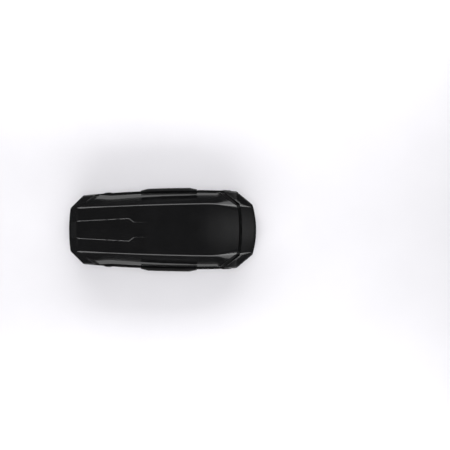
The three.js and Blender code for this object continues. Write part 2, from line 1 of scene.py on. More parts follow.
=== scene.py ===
"""The looks of the roof cargo box: its formed lid and tray, moulded grips, metal linkage and clamps.
Shapes are worked out in millimetres, in the frame of the CAD part, and set down in metres."""

import math

import bmesh
import bpy
import numpy as np
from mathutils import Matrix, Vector


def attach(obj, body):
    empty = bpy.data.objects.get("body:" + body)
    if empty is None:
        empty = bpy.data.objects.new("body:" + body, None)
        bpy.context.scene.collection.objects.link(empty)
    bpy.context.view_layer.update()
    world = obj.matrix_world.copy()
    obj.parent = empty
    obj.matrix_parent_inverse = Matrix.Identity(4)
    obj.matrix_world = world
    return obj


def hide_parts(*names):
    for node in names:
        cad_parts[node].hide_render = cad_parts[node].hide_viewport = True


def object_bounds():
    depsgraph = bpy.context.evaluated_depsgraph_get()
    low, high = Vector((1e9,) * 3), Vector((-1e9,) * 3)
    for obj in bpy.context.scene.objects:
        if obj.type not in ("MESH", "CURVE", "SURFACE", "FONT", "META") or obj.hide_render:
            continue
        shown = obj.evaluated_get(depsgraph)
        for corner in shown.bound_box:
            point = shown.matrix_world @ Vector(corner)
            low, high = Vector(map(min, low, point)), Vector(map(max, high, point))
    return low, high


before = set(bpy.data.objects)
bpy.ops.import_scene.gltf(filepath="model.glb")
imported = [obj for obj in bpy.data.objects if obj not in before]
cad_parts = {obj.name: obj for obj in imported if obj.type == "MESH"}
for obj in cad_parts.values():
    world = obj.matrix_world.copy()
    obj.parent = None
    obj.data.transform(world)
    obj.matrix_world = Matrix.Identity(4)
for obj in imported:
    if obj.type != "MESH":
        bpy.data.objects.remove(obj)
CAD_BOX = [list(corner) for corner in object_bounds()]
MM = 0.001
TOP_GAP = 0.02
TOP_Z = CAD_BOX[1][2] / MM - TOP_GAP
SIDES = {"left": 1, "right": -1}

# ---------- the box in plan and section, by the CAD part's formulas ----------
HALF_LENGTH = 1075
HALF_WIDTH = 455
WIDEST_X = 435
REAR_CORNER = (-1059, 247)
REAR_SIDE = (-910, 395)
FRONT_SIDE = (849, 441)
FRONT_CORNER = (1033, 288)
SPINE_HALF = 650
INSET_UNIT = 450
SKIRT_BOTTOM = 118
LIP_Z = 156
LIP_WIDTH = 33
LIP_MIN = 9
BAND_SLOPE = 0.8
CREST_Z = 416
CROWN = 10
SHELL = 4
EDGE_BLEND = 36
EDGE_BLEND_FRONT = 72
PANEL_RISE = 4.5
GROOVE_DEPTH = 15
GROOVE_HALF = 17
GROOVE = [(676, 440), (711, 406), (868, 280), (880, 245), (890, 140), (895, 0)]
REAR_GROOVE = [(-722, 430), (-740, 400), (-905, 285)]
REAR_GROOVE_FADE = (-915, -760)
REAR_GROOVE_TAPER = 0.6
STATIONS = {"front": 735, "rear": -628}
BULGES = {"front": (6, 45), "rear": (8, 33)}
BULGE_RAMP = 9
BARS = {"front": 466, "rear": -299}
CLAMP_Y = 300
AXIS_Y = 412
AXIS_Z = 136
LOCK_X = 73
LOCK_Z = 148
FLOOR = 5
RIM_Z = 126
RIDGE = {"x": 544, "y": 301, "rear_length": 1471, "rear_in": 48, "front_length": 491, "front_in": 39}
CREST = {"rear_x": -150, "rear_length": 800, "rear_fall": 18,
         "front_x": 400, "front_length": 635, "front_fall": 145}
PANEL = {"rear_x": -927, "rear_y": 98, "wide_x": -375, "wide_y": 127, "neck_x": -306, "neck_y": 86}
PANEL_FADE = (-230, -20)
PANEL_STEP = 6.2  # a little narrower than the CAD part's, on a finer mesh
NOSE_START = (600, 720)
LIP_START = (-790, -560)
BAND = {"rear_x": -605, "rear_width": 44, "front_x": 544, "front_width": 25}
CREASE = {"x": -755, "slope": 0.583, "reach": 95}
END_BLEND = 12
REAR = {"proud": 28, "proud_y": (88, 104), "strip_x": -945, "strip_z": 392, "strip_slope": 0.66,
        "run": 86, "rise": 213}
NOSE_STEEPNESS = 8
RIDGE_SOFT_X = (560, 840)
RIDGE_SOFT_END = (870, 900)
GROOVE_WALL = 9
SHOULDER_Y = (270, 300)
SHOULDER_WIDEN = 5


def remap(x, a, b, c, d):
    return c + (np.asarray(x, float) - a) * (d - c) / (b - a)


def mix(a, b, t):
    return a + (b - a) * t


def soft_step(a, b, x):
    t = np.clip((np.asarray(x, float) - a) / (b - a), 0, 1)
    return t * t * (3 - 2 * t)


def soft_min(a, b, k):
    return np.minimum(a, b) - np.maximum(k - np.abs(a - b), 0) ** 2 / (4 * k)


def side_y(x):
    """Half-width of the lid's edge along the side."""
    back = np.clip((WIDEST_X - x) / (WIDEST_X - REAR_SIDE[0]), 0, None)
    ahead = np.clip((x - WIDEST_X) / (FRONT_SIDE[0] - WIDEST_X), 0, None)
    return HALF_WIDTH - (HALF_WIDTH - REAR_SIDE[1]) * back**2.2 - (HALF_WIDTH - FRONT_SIDE[1]) * ahead**2


def edge_y(x):
    """Half-width of the lid's edge at any x, chamfers included."""
    rear = remap(x, REAR_CORNER[0], REAR_SIDE[0], REAR_CORNER[1], REAR_SIDE[1])
    front = remap(x, FRONT_SIDE[0], FRONT_CORNER[0], FRONT_SIDE[1], FRONT_CORNER[1])
    return np.where(x < REAR_SIDE[0], rear, np.where(x > FRONT_SIDE[0], front, side_y(x)))


def bulge(x):
    """How far the lid's edge stands out at the lifting arms."""
    total = 0.0
    for end, (height, half) in BULGES.items():
        beyond = np.abs(x - STATIONS[end]) - half
        total = total + height * np.clip(1 - beyond / BULGE_RAMP, 0, 1)
    return total


def ridge_y(x):
    """Distance of the two ridges along the top from its middle."""
    back = np.clip((RIDGE["x"] - x) / RIDGE["rear_length"], 0, None)
    ahead = np.clip((x - RIDGE["x"]) / RIDGE["front_length"], 0, None)
    return RIDGE["y"] - RIDGE["rear_in"] * back**1.5 - RIDGE["front_in"] * ahead**2


def crest_z(x):
    """Height of the top's centre line: level in the middle, falling towards both ends."""
    back = np.clip((CREST["rear_x"] - x) / CREST["rear_length"], 0, None)
    ahead = np.clip((x - CREST["front_x"]) / CREST["front_length"], 0, None)
    return CREST_Z - CREST["rear_fall"] * back**2 - CREST["front_fall"] * ahead**1.6


def panel_y(x):
    """Half-width of the raised panel on the rear half of the top."""
    straight = remap(x, PANEL["rear_x"], PANEL["wide_x"], PANEL["rear_y"], PANEL["wide_y"])
    return mix(straight, PANEL["neck_y"], soft_step(PANEL["wide_x"], PANEL["neck_x"], x))


def distance_to(line, x, y):
    """Distance from a line of straight pieces."""
    nearest = np.full(np.shape(x), 1e9)
    for (ax, ay), (bx, by) in zip(line, line[1:]):
        length2 = (bx - ax) ** 2 + (by - ay) ** 2
        t = np.clip(((x - ax) * (bx - ax) + (y - ay) * (by - ay)) / length2, 0, 1)
        nearest = np.minimum(nearest, np.hypot(x - ax - (bx - ax) * t, y - ay - (by - ay) * t))
    return nearest


def side_face(x, y):
    """Side of the lid: lip, sloped band, then side face up to the ridge."""
    ridge = ridge_y(x)
    ridge_z = crest_z(x) - CROWN
    nose = soft_step(*NOSE_START, x)
    lip = mix(LIP_MIN, LIP_WIDTH, soft_step(*LIP_START, x) * (1 - nose))
    outer = edge_y(x) - lip
    width = remap(x, BAND["rear_x"], BAND["front_x"], BAND["rear_width"], BAND["front_width"])
    band_width = np.clip(width, BAND["front_width"], BAND["rear_width"])
    band_top = LIP_Z + BAND_SLOPE * band_width
    plain = outer - band_width
    corner = np.maximum(ridge, plain + (x - CREASE["x"]) * CREASE["slope"])
    corner_z = ridge_z - (ridge_z - band_top) * np.minimum((corner - ridge) / CREASE["reach"], 1)
    inner = np.where(x < CREASE["x"], corner, plain)
    inner_z = np.where(x < CREASE["x"], corner_z, band_top)
    straight = LIP_Z + (ridge_z - LIP_Z) * (outer - inner) / (outer - ridge)
    inner_z = mix(inner_z, straight, nose)
    band = LIP_Z + (outer - y) * (inner_z - LIP_Z) / (outer - inner)
    face = inner_z + (inner - y) * (ridge_z - inner_z) / np.maximum(inner - ridge, 1)
    return np.where(inner - ridge < 2, band, np.maximum(band, face))


def rear_end(x, y):
    """A steep face at the rear, then a gently sloped strip."""
    proud = REAR["proud"] * (1 - soft_step(*REAR["proud_y"], y))
    strip = REAR["strip_z"] + (x - REAR["strip_x"] + proud) * REAR["strip_slope"]
    bow = (HALF_LENGTH + REAR_CORNER[0]) * (y / REAR_CORNER[1]) ** 2
    face = LIP_Z + (x + HALF_LENGTH - LIP_MIN - bow) * REAR["rise"] / (REAR["run"] - proud)
    return soft_min(strip, face, END_BLEND)


def nose_face(x, y):
    bow = (HALF_LENGTH - FRONT_CORNER[0]) * (y / FRONT_CORNER[1]) ** 2
    return LIP_Z + (HALF_LENGTH - LIP_MIN - bow - x) * NOSE_STEEPNESS


def grooves(x, y, wall):
    """How far a point is inside the front groove and inside a rear one, 0 to 1."""
    full = soft_step(*REAR_GROOVE_FADE, x)
    front_half = GROOVE_HALF + SHOULDER_WIDEN * soft_step(*SHOULDER_Y, y)
    rear_half = GROOVE_HALF * mix(REAR_GROOVE_TAPER, 1, full)
    front = 1 - soft_step(front_half - wall, front_half, distance_to(GROOVE, x, y))
    rear = 1 - soft_step(rear_half - wall, rear_half, distance_to(REAR_GROOVE, x, y))
    return front, rear * full


def lid_z(x, signed_y):
    """Height of the lid's outer surface."""
    y = np.abs(signed_y)
    on_panel = 1 - soft_step(panel_y(x) - PANEL_STEP, panel_y(x) + PANEL_STEP, y)
    panel = on_panel * (1 - soft_step(*PANEL_FADE, x))
    soft = soft_step(*RIDGE_SOFT_X, x) * (1 - soft_step(*RIDGE_SOFT_END, x))
    z = crest_z(x) - CROWN * (y / ridge_y(x)) ** 2 + PANEL_RISE * panel
    z = soft_min(z, side_face(x, y), mix(EDGE_BLEND, EDGE_BLEND_FRONT, soft))
    z = soft_min(z, rear_end(x, y), END_BLEND)
    z = soft_min(z, nose_face(x, y), END_BLEND)
    shoulder = soft_step(*SHOULDER_Y, y)
    front, rear = grooves(x, y, GROOVE_WALL)
    return np.clip(z - GROOVE_DEPTH * np.maximum(front * (1 + shoulder), rear), LIP_Z, TOP_Z)


# ---------- closed loops and the skins between them ----------
BOW_POINTS = 20
SIDE_POINTS = 420
OVERSAMPLE = 4


def end_bow(middle_x, corner):
    """The curve across one end of the lid's edge, from its middle to its corner."""
    shares = np.linspace(0, 1, BOW_POINTS)
    return [(middle_x * (1 - t * t) + corner[0] * t * t, corner[1] * t) for t in shares]


def half_edge(bulges):
    """The lid's edge on the right side, from the middle of the rear to the middle of the front."""
    rear = end_bow(-HALF_LENGTH, REAR_CORNER)
    xs = np.linspace(REAR_SIDE[0], FRONT_SIDE[0], SIDE_POINTS)
    side = [(x, side_y(x) + (bulge(x) if bulges else 0)) for x in xs]
    nose = end_bow(HALF_LENGTH, FRONT_CORNER)[::-1]
    line = np.array([*rear, *side, *nose], float)
    line[:, 1] *= -1
    return line


def edge_loop(count, soften, bulges=True):
    """count points round the lid's edge, counter-clockwise, with the corners rounded over soften mm."""
    right = half_edge(bulges)
    left = right[1:-1][::-1] * (1, -1)
    loop = np.vstack([right, left, right[:1]])
    run = np.r_[0, np.cumsum(np.hypot(*np.diff(loop, axis=0).T))]
    fine = OVERSAMPLE * count
    at = np.linspace(0, run[-1], fine, endpoint=False)
    points = np.stack([np.interp(at, run, loop[:, 0]), np.interp(at, run, loop[:, 1])], axis=1)
    reach = max(1, round(soften / run[-1] * fine))
    weights = np.hanning(2 * reach + 1)
    weights /= weights.sum()
    wrapped = np.vstack([points[-reach:], points, points[:reach]])
    smooth = np.stack([np.convolve(wrapped[:, k], weights, "valid") for k in (0, 1)], axis=1)
    return smooth[::OVERSAMPLE]


def shrink(loop, mm):
    """The loop moved inwards towards the spine of the box."""
    share = mm / INSET_UNIT
    towards = np.clip(loop[:, 0], -SPINE_HALF, SPINE_HALF)
    return np.stack([loop[:, 0] + (towards - loop[:, 0]) * share, loop[:, 1] * (1 - share)], axis=1)


def raised(loop, z):
    return np.column_stack([loop, np.broadcast_to(z, len(loop))])


def cap_faces(start, count, flip):
    """Closes a loop that mirrors about its first point, with rungs across it."""
    faces = [(start, start + 1, start + count - 1)]
    half = count // 2
    for i in range(1, half - 1):
        faces.append((start + i, start + i + 1, start + count - i - 1, start + count - i))
    faces.append((start + half - 1, start + half, start + half + 1))
    return [face[::-1] for face in faces] if flip else faces


def skin(name, loops):
    """One closed skin through loops of equal length, capped at both ends."""
    count = len(loops[0])
    points = np.vstack(loops) * MM
    faces = []
    for k in range(len(loops) - 1):
        base = k * count
        for i in range(count):
            j = (i + 1) % count
            faces.append((base + i, base + j, base + j + count, base + i + count))
    faces += cap_faces(0, count, True) + cap_faces((len(loops) - 1) * count, count, False)
    mesh = bpy.data.meshes.new(name)
    mesh.from_pydata(points.tolist(), [], faces)
    mesh.update()
    return place(name, mesh)


def place(name, mesh):
    obj = bpy.data.objects.new(name, mesh)
    bpy.context.scene.collection.objects.link(obj)
    mesh.shade_smooth()
    return obj


def cut_out(obj, cutters):
    """Cuts the closed meshes in cutters out of obj and keeps the result."""
    for cutter in cutters:
        change = obj.modifiers.new("cut", "BOOLEAN")
        change.object = cutter
        change.operation = "DIFFERENCE"
        change.solver = "EXACT"
        keep_modified(obj)
        bpy.data.objects.remove(cutter)


def keep_modified(obj):
    """Applies the object's modifiers."""
    shape = bpy.data.meshes.new_from_object(obj.evaluated_get(bpy.context.evaluated_depsgraph_get()))
    obj.modifiers.clear()
    obj.data = shape


def sharpen(obj, degrees=38):
    """Keeps the edges crisp where two faces meet at more than this angle."""
    work = bmesh.new()
    work.from_mesh(obj.data)
    for line in work.edges:
        line.smooth = line.calc_face_angle(0) < math.radians(degrees)
    work.to_mesh(obj.data)
    work.free()


# ---------- shapes made of rings ----------
class Pile:
    """Closed shapes gathered in one mesh."""

    def __init__(self):
        self.points, self.faces = [], []

    def add(self, rings, closed=False):
        """A closed skin over rings of equal length; closed joins the last ring to the first."""
        count, start = len(rings[0]), len(self.points)
        for ring in rings:
            self.points += [tuple(point) for point in ring]
        for k in range(len(rings) if closed else len(rings) - 1):
            a, b = start + k * count, start + (k + 1) % len(rings) * count
            for i in range(count):
                j = (i + 1) % count
                self.faces.append((a + i, a + j, b + j, b + i))
        if not closed:
            last = start + (len(rings) - 1) * count
            self.faces.append(tuple(range(start + count - 1, start - 1, -1)))
            self.faces.append(tuple(range(last, last + count)))

    def turned(self, profile, at, axis, sides=24, closed=False, socket=()):
        """A turned shape: (radius, height) points about axis at a place; socket rows are six-sided."""
        turn = Vector((0, 0, 1)).rotation_difference(Vector(axis))
        rings = []
        for row, (radius, height) in enumerate(profile):
            ring = []
            for i in range(sides):
                angle = 2 * math.pi * i / sides
                six = math.cos((angle % (math.pi / 3)) - math.pi / 6) if row in socket else 1
                point = Vector((radius / six * math.cos(angle), radius / six * math.sin(angle), height))
                ring.append(Vector(at) + turn @ point)
            rings.append(ring)
        self.add(rings, closed)

    def shape(self, name):
        mesh = bpy.data.meshes.new(name)
        mesh.from_pydata([Vector(point) * MM for point in self.points], [], self.faces)
        mesh.update()
        work = bmesh.new()
        work.from_mesh(mesh)
        bmesh.ops.recalc_face_normals(work, faces=work.faces)
        work.to_mesh(mesh)
        work.free()
        return place(name, mesh)

    def piece(self, name, slot, body):
        obj = self.shape(name)
        sharpen(obj)
        return dress(obj, slot, body)


def rod_mesh(name, radius, at, axis, length, sides=48):
    """A closed round bar that serves as a cutter."""
    bar = Pile()
    bar.turned([(radius, -length / 2), (radius, length / 2)], at, axis, sides)
    return bar.shape(name)


def mark_points(obj, name, values):
    """Stores one number for each point of the mesh, for its finish to read."""
    layer = obj.data.attributes.new(name, "FLOAT", "POINT")
    layer.data.foreach_set("value", values.astype(np.float32))


# ---------- lid ----------
REFINE_OVER = 0.1
REFINE_PASSES = 2


def refine(lid, first, last):
    """Splits the faces of the outer surface, first to last, where they cut a crease short."""
    work = bmesh.new()
    work.from_mesh(lid.data)
    outer = work.faces.layers.int.new("outer")
    work.faces.ensure_lookup_table()
    for face in work.faces[first:last]:
        face[outer] = 1
    for _ in range(REFINE_PASSES):
        skins = [face for face in work.faces if face[outer]]
        middles = np.array([face.calc_center_median() for face in skins]) / MM
        wanted = lid_z(middles[:, 0], middles[:, 1])
        rough = [face for face, off in zip(skins, np.abs(wanted - middles[:, 2])) if off > REFINE_OVER]
        edges = list({line for face in rough for line in face.edges})
        bmesh.ops.subdivide_edges(work, edges=edges, cuts=1, use_grid_fill=True)
        corners = list({corner for face in work.faces if face[outer] for corner in face.verts})
        at = np.array([corner.co for corner in corners]) / MM
        for corner, z in zip(corners, lid_z(at[:, 0], at[:, 1])):
            corner.co.z = z * MM
    work.faces.layers.int.remove(outer)
    work.to_mesh(lid.data)
    work.free()
    lid.data.shade_smooth()


LID_POINTS = 800
LID_ROUNDING = 26
SKIRT_EDGE = 1.2
SKIRT_MIDDLE = 135
LIP_ROUND = 5
LIP_TURNS = (0, 22, 45, 68, 90)
FIRST_LEVEL = 8
LAST_LEVEL = 446
OUTSIDE_STEP = 6.5
INSIDE_STEP = 18
KEY_HOLE_R = 6.8
KEY_HOLE_Y = 425
KEY_HOLE_LENGTH = 90
# Width of the soft edge of the mark where shade is painted into the groove.
GROOVE_SHADE_WALL = 4


def make_lid():
    """The lid's outside from the skirt up to the middle, its inside, and the two key holes."""
    rim = edge_loop(LID_POINTS, LID_ROUNDING)
    outside = [raised(shrink(rim, SKIRT_EDGE), SKIRT_BOTTOM), raised(rim, SKIRT_BOTTOM + SKIRT_EDGE)]
    outside.append(raised(rim, SKIRT_MIDDLE))
    for turn in LIP_TURNS:
        angle = math.radians(turn)
        inwards = shrink(rim, LIP_ROUND * (1 - math.cos(angle)))
        outside.append(raised(inwards, LIP_Z - LIP_ROUND * (1 - math.sin(angle))))
    plain_loops = len(outside) + 1
    for level in np.arange(FIRST_LEVEL, LAST_LEVEL, OUTSIDE_STEP):
        loop = shrink(rim, level)
        outside.append(np.column_stack([loop, lid_z(*loop.T)]))
    inside = [raised(shrink(rim, SHELL - 1), SKIRT_BOTTOM)]
    inside.append(raised(shrink(rim, SHELL), SKIRT_BOTTOM + SKIRT_EDGE))
    inside.append(raised(shrink(rim, SHELL), LIP_Z - SHELL - 2))
    for level in np.arange(FIRST_LEVEL, LAST_LEVEL, INSIDE_STEP):
        loop = shrink(rim, level)
        inside.append(np.column_stack([loop, lid_z(*shrink(rim, level - SHELL).T) - SHELL]))
    lid = skin("lid_skin", [*inside[::-1], *outside])
    mark_points(lid, "inside", np.arange(len(lid.data.vertices)) < len(inside) * len(rim))
    refine(lid, (len(inside) + plain_loops) * len(rim), (len(inside) + len(outside) - 1) * len(rim))
    holes = []
    for s in SIDES.values():
        at = (LOCK_X, s * KEY_HOLE_Y, LOCK_Z)
        holes.append(rod_mesh("key_hole", KEY_HOLE_R, at, (0, 1, 0), KEY_HOLE_LENGTH))
    cut_out(lid, holes)
    points = np.array([point.co for point in lid.data.vertices]) / MM
    # Marks the groove for painted shade: the lid's finish colours it near-black and mirror-less in place of
    # the shade that falls in the recess.
    groove_shade = np.maximum(*grooves(points[:, 0], np.abs(points[:, 1]), GROOVE_SHADE_WALL))
    groove_shade *= points[:, 2] > LIP_Z + 1
    mark_points(lid, "groove", groove_shade)
    return lid


# ---------- base tray ----------
RIB_YS = (58, 116, 174)
RIB_HALF = 15
RIB_WALL = 6
RIB_RISE = 3.6
RIB_END = (780, 800)


def floor_rise(x, y):
    """Height of the stiffening ribs that are pressed up into the tray's floor."""
    rise = np.zeros(np.shape(x))
    for rib in RIB_YS:
        across = 1 - soft_step(RIB_HALF - RIB_WALL, RIB_HALF, np.abs(np.abs(y) - rib))
        along = 1 - soft_step(*RIB_END, np.abs(x))
        rise = np.maximum(rise, RIB_RISE * across * along)
    return rise


# Inset and height of each loop, from the underside round the folded rim to the floor.
TRAY_PROFILE = [
    (91, 0), (86, 0.8), (81, 3), (76, 8), (73, 15), (60, 57), (48, 98), (44, 108), (40, 117),
    (38, 119.5), (35, 120.6), (27, 121), (24.6, 121.6), (24, 123.5), (24.6, 125.4), (27, RIM_Z),
    (40, RIM_Z), (43.5, 124.6), (46, 120), (52, 100), (64, 60), (78, 17), (81, 11), (86, 7), (94, FLOOR),
]
TRAY_POINTS = 560
TRAY_ROUNDING = 30
FLOOR_FROM = 100
FLOOR_STEP = 8
SLOT_NEAR = 31
SLOT_FAR = 66
SLOT_HALF_Y = 26
SLOT_CORNER = 5
SLOT_SIDES = 24
SLOT_Z = (-10, 20)


def slot_mesh(x0, x1, y):
    """A closed upright block with rounded corners that serves as a cutter."""
    corners = []
    for turn in range(SLOT_SIDES):
        angle = 2 * math.pi * (turn + 0.5) / SLOT_SIDES
        across, along = math.cos(angle), math.sin(angle)
        corner_x = (x0 + x1) / 2 + math.copysign((x1 - x0) / 2 - SLOT_CORNER, across)
        corner_y = y + math.copysign(SLOT_HALF_Y - SLOT_CORNER, along)
        corners.append((corner_x + SLOT_CORNER * across, corner_y + SLOT_CORNER * along))
    block = Pile()
    block.add([[(*corner, z) for corner in corners] for z in SLOT_Z])
    return block.shape("slot")


def make_tray():
    """The tray's underside, folded wall and floor, with a slot for each clamp jaw."""
    rim = edge_loop(TRAY_POINTS, TRAY_ROUNDING, bulges=False)
    wall = [raised(shrink(rim, level), z) for level, z in TRAY_PROFILE]
    below, above = [], []
    for level in np.arange(FLOOR_FROM, LAST_LEVEL, FLOOR_STEP):
        loop = shrink(rim, level)
        below.append(raised(loop, floor_rise(*loop.T)))
        above.append(raised(loop, FLOOR + floor_rise(*loop.T)))
    tray = skin("tray_skin", [*below[::-1], *wall, *above])
    slots = []
    for bar in BARS.values():
        for s in SIDES.values():
            slots.append(slot_mesh(bar + SLOT_NEAR, bar + SLOT_FAR, s * CLAMP_Y))
            slots.append(slot_mesh(bar - SLOT_FAR, bar - SLOT_NEAR, s * CLAMP_Y))
    cut_out(tray, slots)
    return tray


# ---------- finishes ----------
def nodes_of(name):
    made = bpy.data.materials.new(name)
    made.use_nodes = True
    return made, made.node_tree.nodes, made.node_tree.links, made.node_tree.nodes["Principled BSDF"]


def noise(nodes, links, where, scale, detail=3.0, stretch=(1, 1, 1)):
    """A noise pattern in metres of the object's own frame."""
    mapping = nodes.new("ShaderNodeMapping")
    mapping.inputs["Scale"].default_value = stretch
    links.new(where.outputs["Object"], mapping.inputs["Vector"])
    pattern = nodes.new("ShaderNodeTexNoise")
    pattern.inputs["Scale"].default_value = scale
    pattern.inputs["Detail"].default_value = detail
    links.new(mapping.outputs["Vector"], pattern.inputs["Vector"])
    return pattern.outputs["Fac"]


def spread(nodes, links, value, low, high, from_low=0.3, from_high=0.7):
    """The value stretched from one range onto another."""
    change = nodes.new("ShaderNodeMapRange")
    for key, number in zip(("From Min", "From Max", "To Min", "To Max"), (from_low, from_high, low, high)):
        change.inputs[key].default_value = number
    links.new(value, change.inputs["Value"])
    return change.outputs["Result"]


def blend_colour(nodes, links, amount, first, second):
    change = nodes.new("ShaderNodeMix")
    change.data_type = "RGBA"
    for key, colour in (("A", first), ("B", second)):
        socket = next(s for s in change.inputs if s.name == key and s.type == "RGBA")
        if isinstance(colour, tuple):
            socket.default_value = (*colour, 1)
        else:
            links.new(colour, socket)
    links.new(amount, change.inputs["Factor"])
    return next(s for s in change.outputs if s.type == "RGBA")


def mark_of(nodes, attribute):
    mark = nodes.new("ShaderNodeAttribute")
    mark.attribute_name = attribute
    return mark.outputs["Fac"]


def raise_by(nodes, links, value, mark, rise):
    """The value, raised by rise where the mark is 1."""
    change = nodes.new("ShaderNodeMath")
    change.operation = "MULTIPLY_ADD"
    change.use_clamp = True
    links.new(mark, change.inputs[0])
    change.inputs[1].default_value = rise
    links.new(value, change.inputs[2])
    return change.outputs[0]


PATCH_LIGHTER = 1.35
EDGE_WEAR = 0.55
ROUGH_GRAIN = 0.03
# Painted shade in the groove: how much rougher, how far metallic, and how much lighter its near-black base
# colour is.
PAINTED_SHADE_ROUGHER = 0.25
PAINTED_SHADE_SHARE = 0.76
PAINTED_SHADE_LIGHTER = 1.5
SATIN_ROUGHER = 0.3


def lighter(colour, times):
    return tuple(c * times for c in colour)


def finish(name, colour, worn, roughness, metallic=0.0, grain=900, bump=0.1, depth=0.0002,
           stretch=(1, 1, 1), patch=7, edge=(0.54, 0.62), painted_shade=None, satin=None):
    """A moulded or metal finish: colour that varies in patches, pale worn edges, grain and uneven gloss.
    Two point attributes can be named: the first marks where shade is painted on, as a near-black colour
    that mirrors almost nothing, and satin marks where the surface is less glossy."""
    made, nodes, links, shader = nodes_of(name)
    where = nodes.new("ShaderNodeTexCoord")
    cloud = noise(nodes, links, where, patch, 4)
    fine = noise(nodes, links, where, grain, 2, stretch)
    patches = spread(nodes, links, cloud, 0, 1)
    tone = blend_colour(nodes, links, patches, colour, lighter(colour, PATCH_LIGHTER))
    shape = nodes.new("ShaderNodeNewGeometry")
    edges = spread(nodes, links, shape.outputs["Pointiness"], 0, EDGE_WEAR, *edge)
    tone = blend_colour(nodes, links, edges, tone, worn)
    low, high = roughness
    uneven = nodes.new("ShaderNodeMath")
    uneven.operation = "ADD"
    links.new(spread(nodes, links, cloud, low, high), uneven.inputs[0])
    links.new(spread(nodes, links, fine, -ROUGH_GRAIN, ROUGH_GRAIN), uneven.inputs[1])
    rough = uneven.outputs[0]
    for attribute, rise in ((painted_shade, PAINTED_SHADE_ROUGHER), (satin, SATIN_ROUGHER)):
        if attribute:
            rough = raise_by(nodes, links, rough, mark_of(nodes, attribute), rise)
    # Painted shade: where the mark is, the colour turns near-black and metallic so it mirrors almost
    # nothing, standing in for the shade in the groove.
    if painted_shade:
        painted_shade_amount = spread(nodes, links, mark_of(nodes, painted_shade), 0, PAINTED_SHADE_SHARE, 0, 1)
        tone = blend_colour(nodes, links, painted_shade_amount, tone, lighter(colour, PAINTED_SHADE_LIGHTER))
        links.new(painted_shade_amount, shader.inputs["Metallic"])
    links.new(tone, shader.inputs["Base Color"])
    links.new(rough, shader.inputs["Roughness"])
    relief = nodes.new("ShaderNodeBump")
    relief.inputs["Strength"].default_value = bump
    relief.inputs["Distance"].default_value = depth
    links.new(fine, relief.inputs["Height"])
    links.new(relief.outputs["Normal"], shader.inputs["Normal"])
    shader.inputs["Metallic"].default_value = metallic
    return made


FINISHES = {
    # The lid's finish paints shade into its groove, reading the groove mark.
    "lid_gloss": finish("lid_gloss", (0.003, 0.003, 0.0032), (0.012, 0.012, 0.013), (0.16, 0.24),
                        grain=260, bump=0.05, depth=0.0004, patch=5, painted_shade="groove", satin="inside"),
    "base_shell": finish("base_shell", (0.009, 0.009, 0.01), (0.03, 0.03, 0.031), (0.5, 0.62),
                         grain=1300, bump=0.35, depth=0.0003),
    "grip_plastic": finish("grip_plastic", (0.002, 0.002, 0.0022), (0.014, 0.014, 0.015), (0.48, 0.6),
                           grain=1500, bump=0.3, depth=0.0002),
    "nylon": finish("nylon", (0.016, 0.016, 0.018), (0.07, 0.07, 0.075), (0.45, 0.6),
                    grain=1600, bump=0.25, depth=0.0002, patch=22),
    "knob_plastic": finish("knob_plastic", (0.045, 0.047, 0.05), (0.13, 0.13, 0.135), (0.42, 0.55),
                           grain=1700, bump=0.25, depth=0.0002, patch=25),
    "steel": finish("steel", (0.42, 0.43, 0.45), (0.62, 0.62, 0.63), (0.26, 0.42), metallic=1.0,
                    grain=500, bump=0.12, depth=0.0001, stretch=(0.2, 1, 1), patch=30),
    "spring_steel": finish("spring_steel", (0.3, 0.3, 0.32), (0.5, 0.5, 0.52), (0.22, 0.34), metallic=1.0,
                           grain=700, bump=0.1, depth=0.0001, patch=40),
    "aluminium": finish("aluminium", (0.62, 0.63, 0.65), (0.8, 0.8, 0.82), (0.24, 0.36), metallic=1.0,
                        grain=420, bump=0.2, depth=0.0001, stretch=(0.03, 1, 1), patch=12),
    "rubber": finish("rubber", (0.014, 0.014, 0.014), (0.04, 0.04, 0.04), (0.75, 0.88),
                     grain=1100, bump=0.5, depth=0.0003, patch=30),
    "key_metal": finish("key_metal", (0.55, 0.55, 0.56), (0.75, 0.75, 0.76), (0.12, 0.22), metallic=1.0,
                        grain=800, bump=0.06, depth=0.0001, patch=60),
}


def dress(obj, slot, body):
    """Gives a new piece its finish and its body."""
    obj.data.materials.append(FINISHES[slot])
    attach(obj, body)
    return obj


# ---------- camera, light and floor ----------
CAMERA_LENS = 100
CAMERA_AIM = (0.717, 0.054)
FRAME_WIDTH = 5.173
FRAME_Z = 0.15
SENSOR = 36
CLIP_END = 100
FLOOR_HALF = 30
FLOOR_PATCH = 1.3
FLOOR_TONES = ((0.79, 0.78, 0.81), (0.81, 0.80, 0.83))
FLOOR_ROUGHNESS = 0.9


def make_stage():
    low = CAD_BOX[0][2]
    mesh = bpy.data.meshes.new("floor")
    corners = [(i * FLOOR_HALF, j * FLOOR_HALF, low) for i, j in ((-1, -1), (1, -1), (1, 1), (-1, 1))]
    mesh.from_pydata(corners, [], [(0, 1, 2, 3)])
    floor = place("floor", mesh)
    made, nodes, links, shader = nodes_of("floor_paint")
    where = nodes.new("ShaderNodeTexCoord")
    cloud = spread(nodes, links, noise(nodes, links, where, FLOOR_PATCH), 0, 1)
    links.new(blend_colour(nodes, links, cloud, *FLOOR_TONES), shader.inputs["Base Color"])
    shader.inputs["Roughness"].default_value = FLOOR_ROUGHNESS
    mesh.materials.append(made)
    floor.visible_glossy = False


def area_light(name, at, aim, size, power):
    lamp = bpy.data.lights.new(name, "AREA")
    lamp.shape = "RECTANGLE"
    lamp.size, lamp.size_y = size
    lamp.energy = power
    obj = bpy.data.objects.new(name, lamp)
    bpy.context.scene.collection.objects.link(obj)
    obj.location = at
    obj.rotation_mode = "QUATERNION"
    obj.rotation_quaternion = (Vector(aim) - Vector(at)).to_track_quat("-Z", "Y")
    return obj


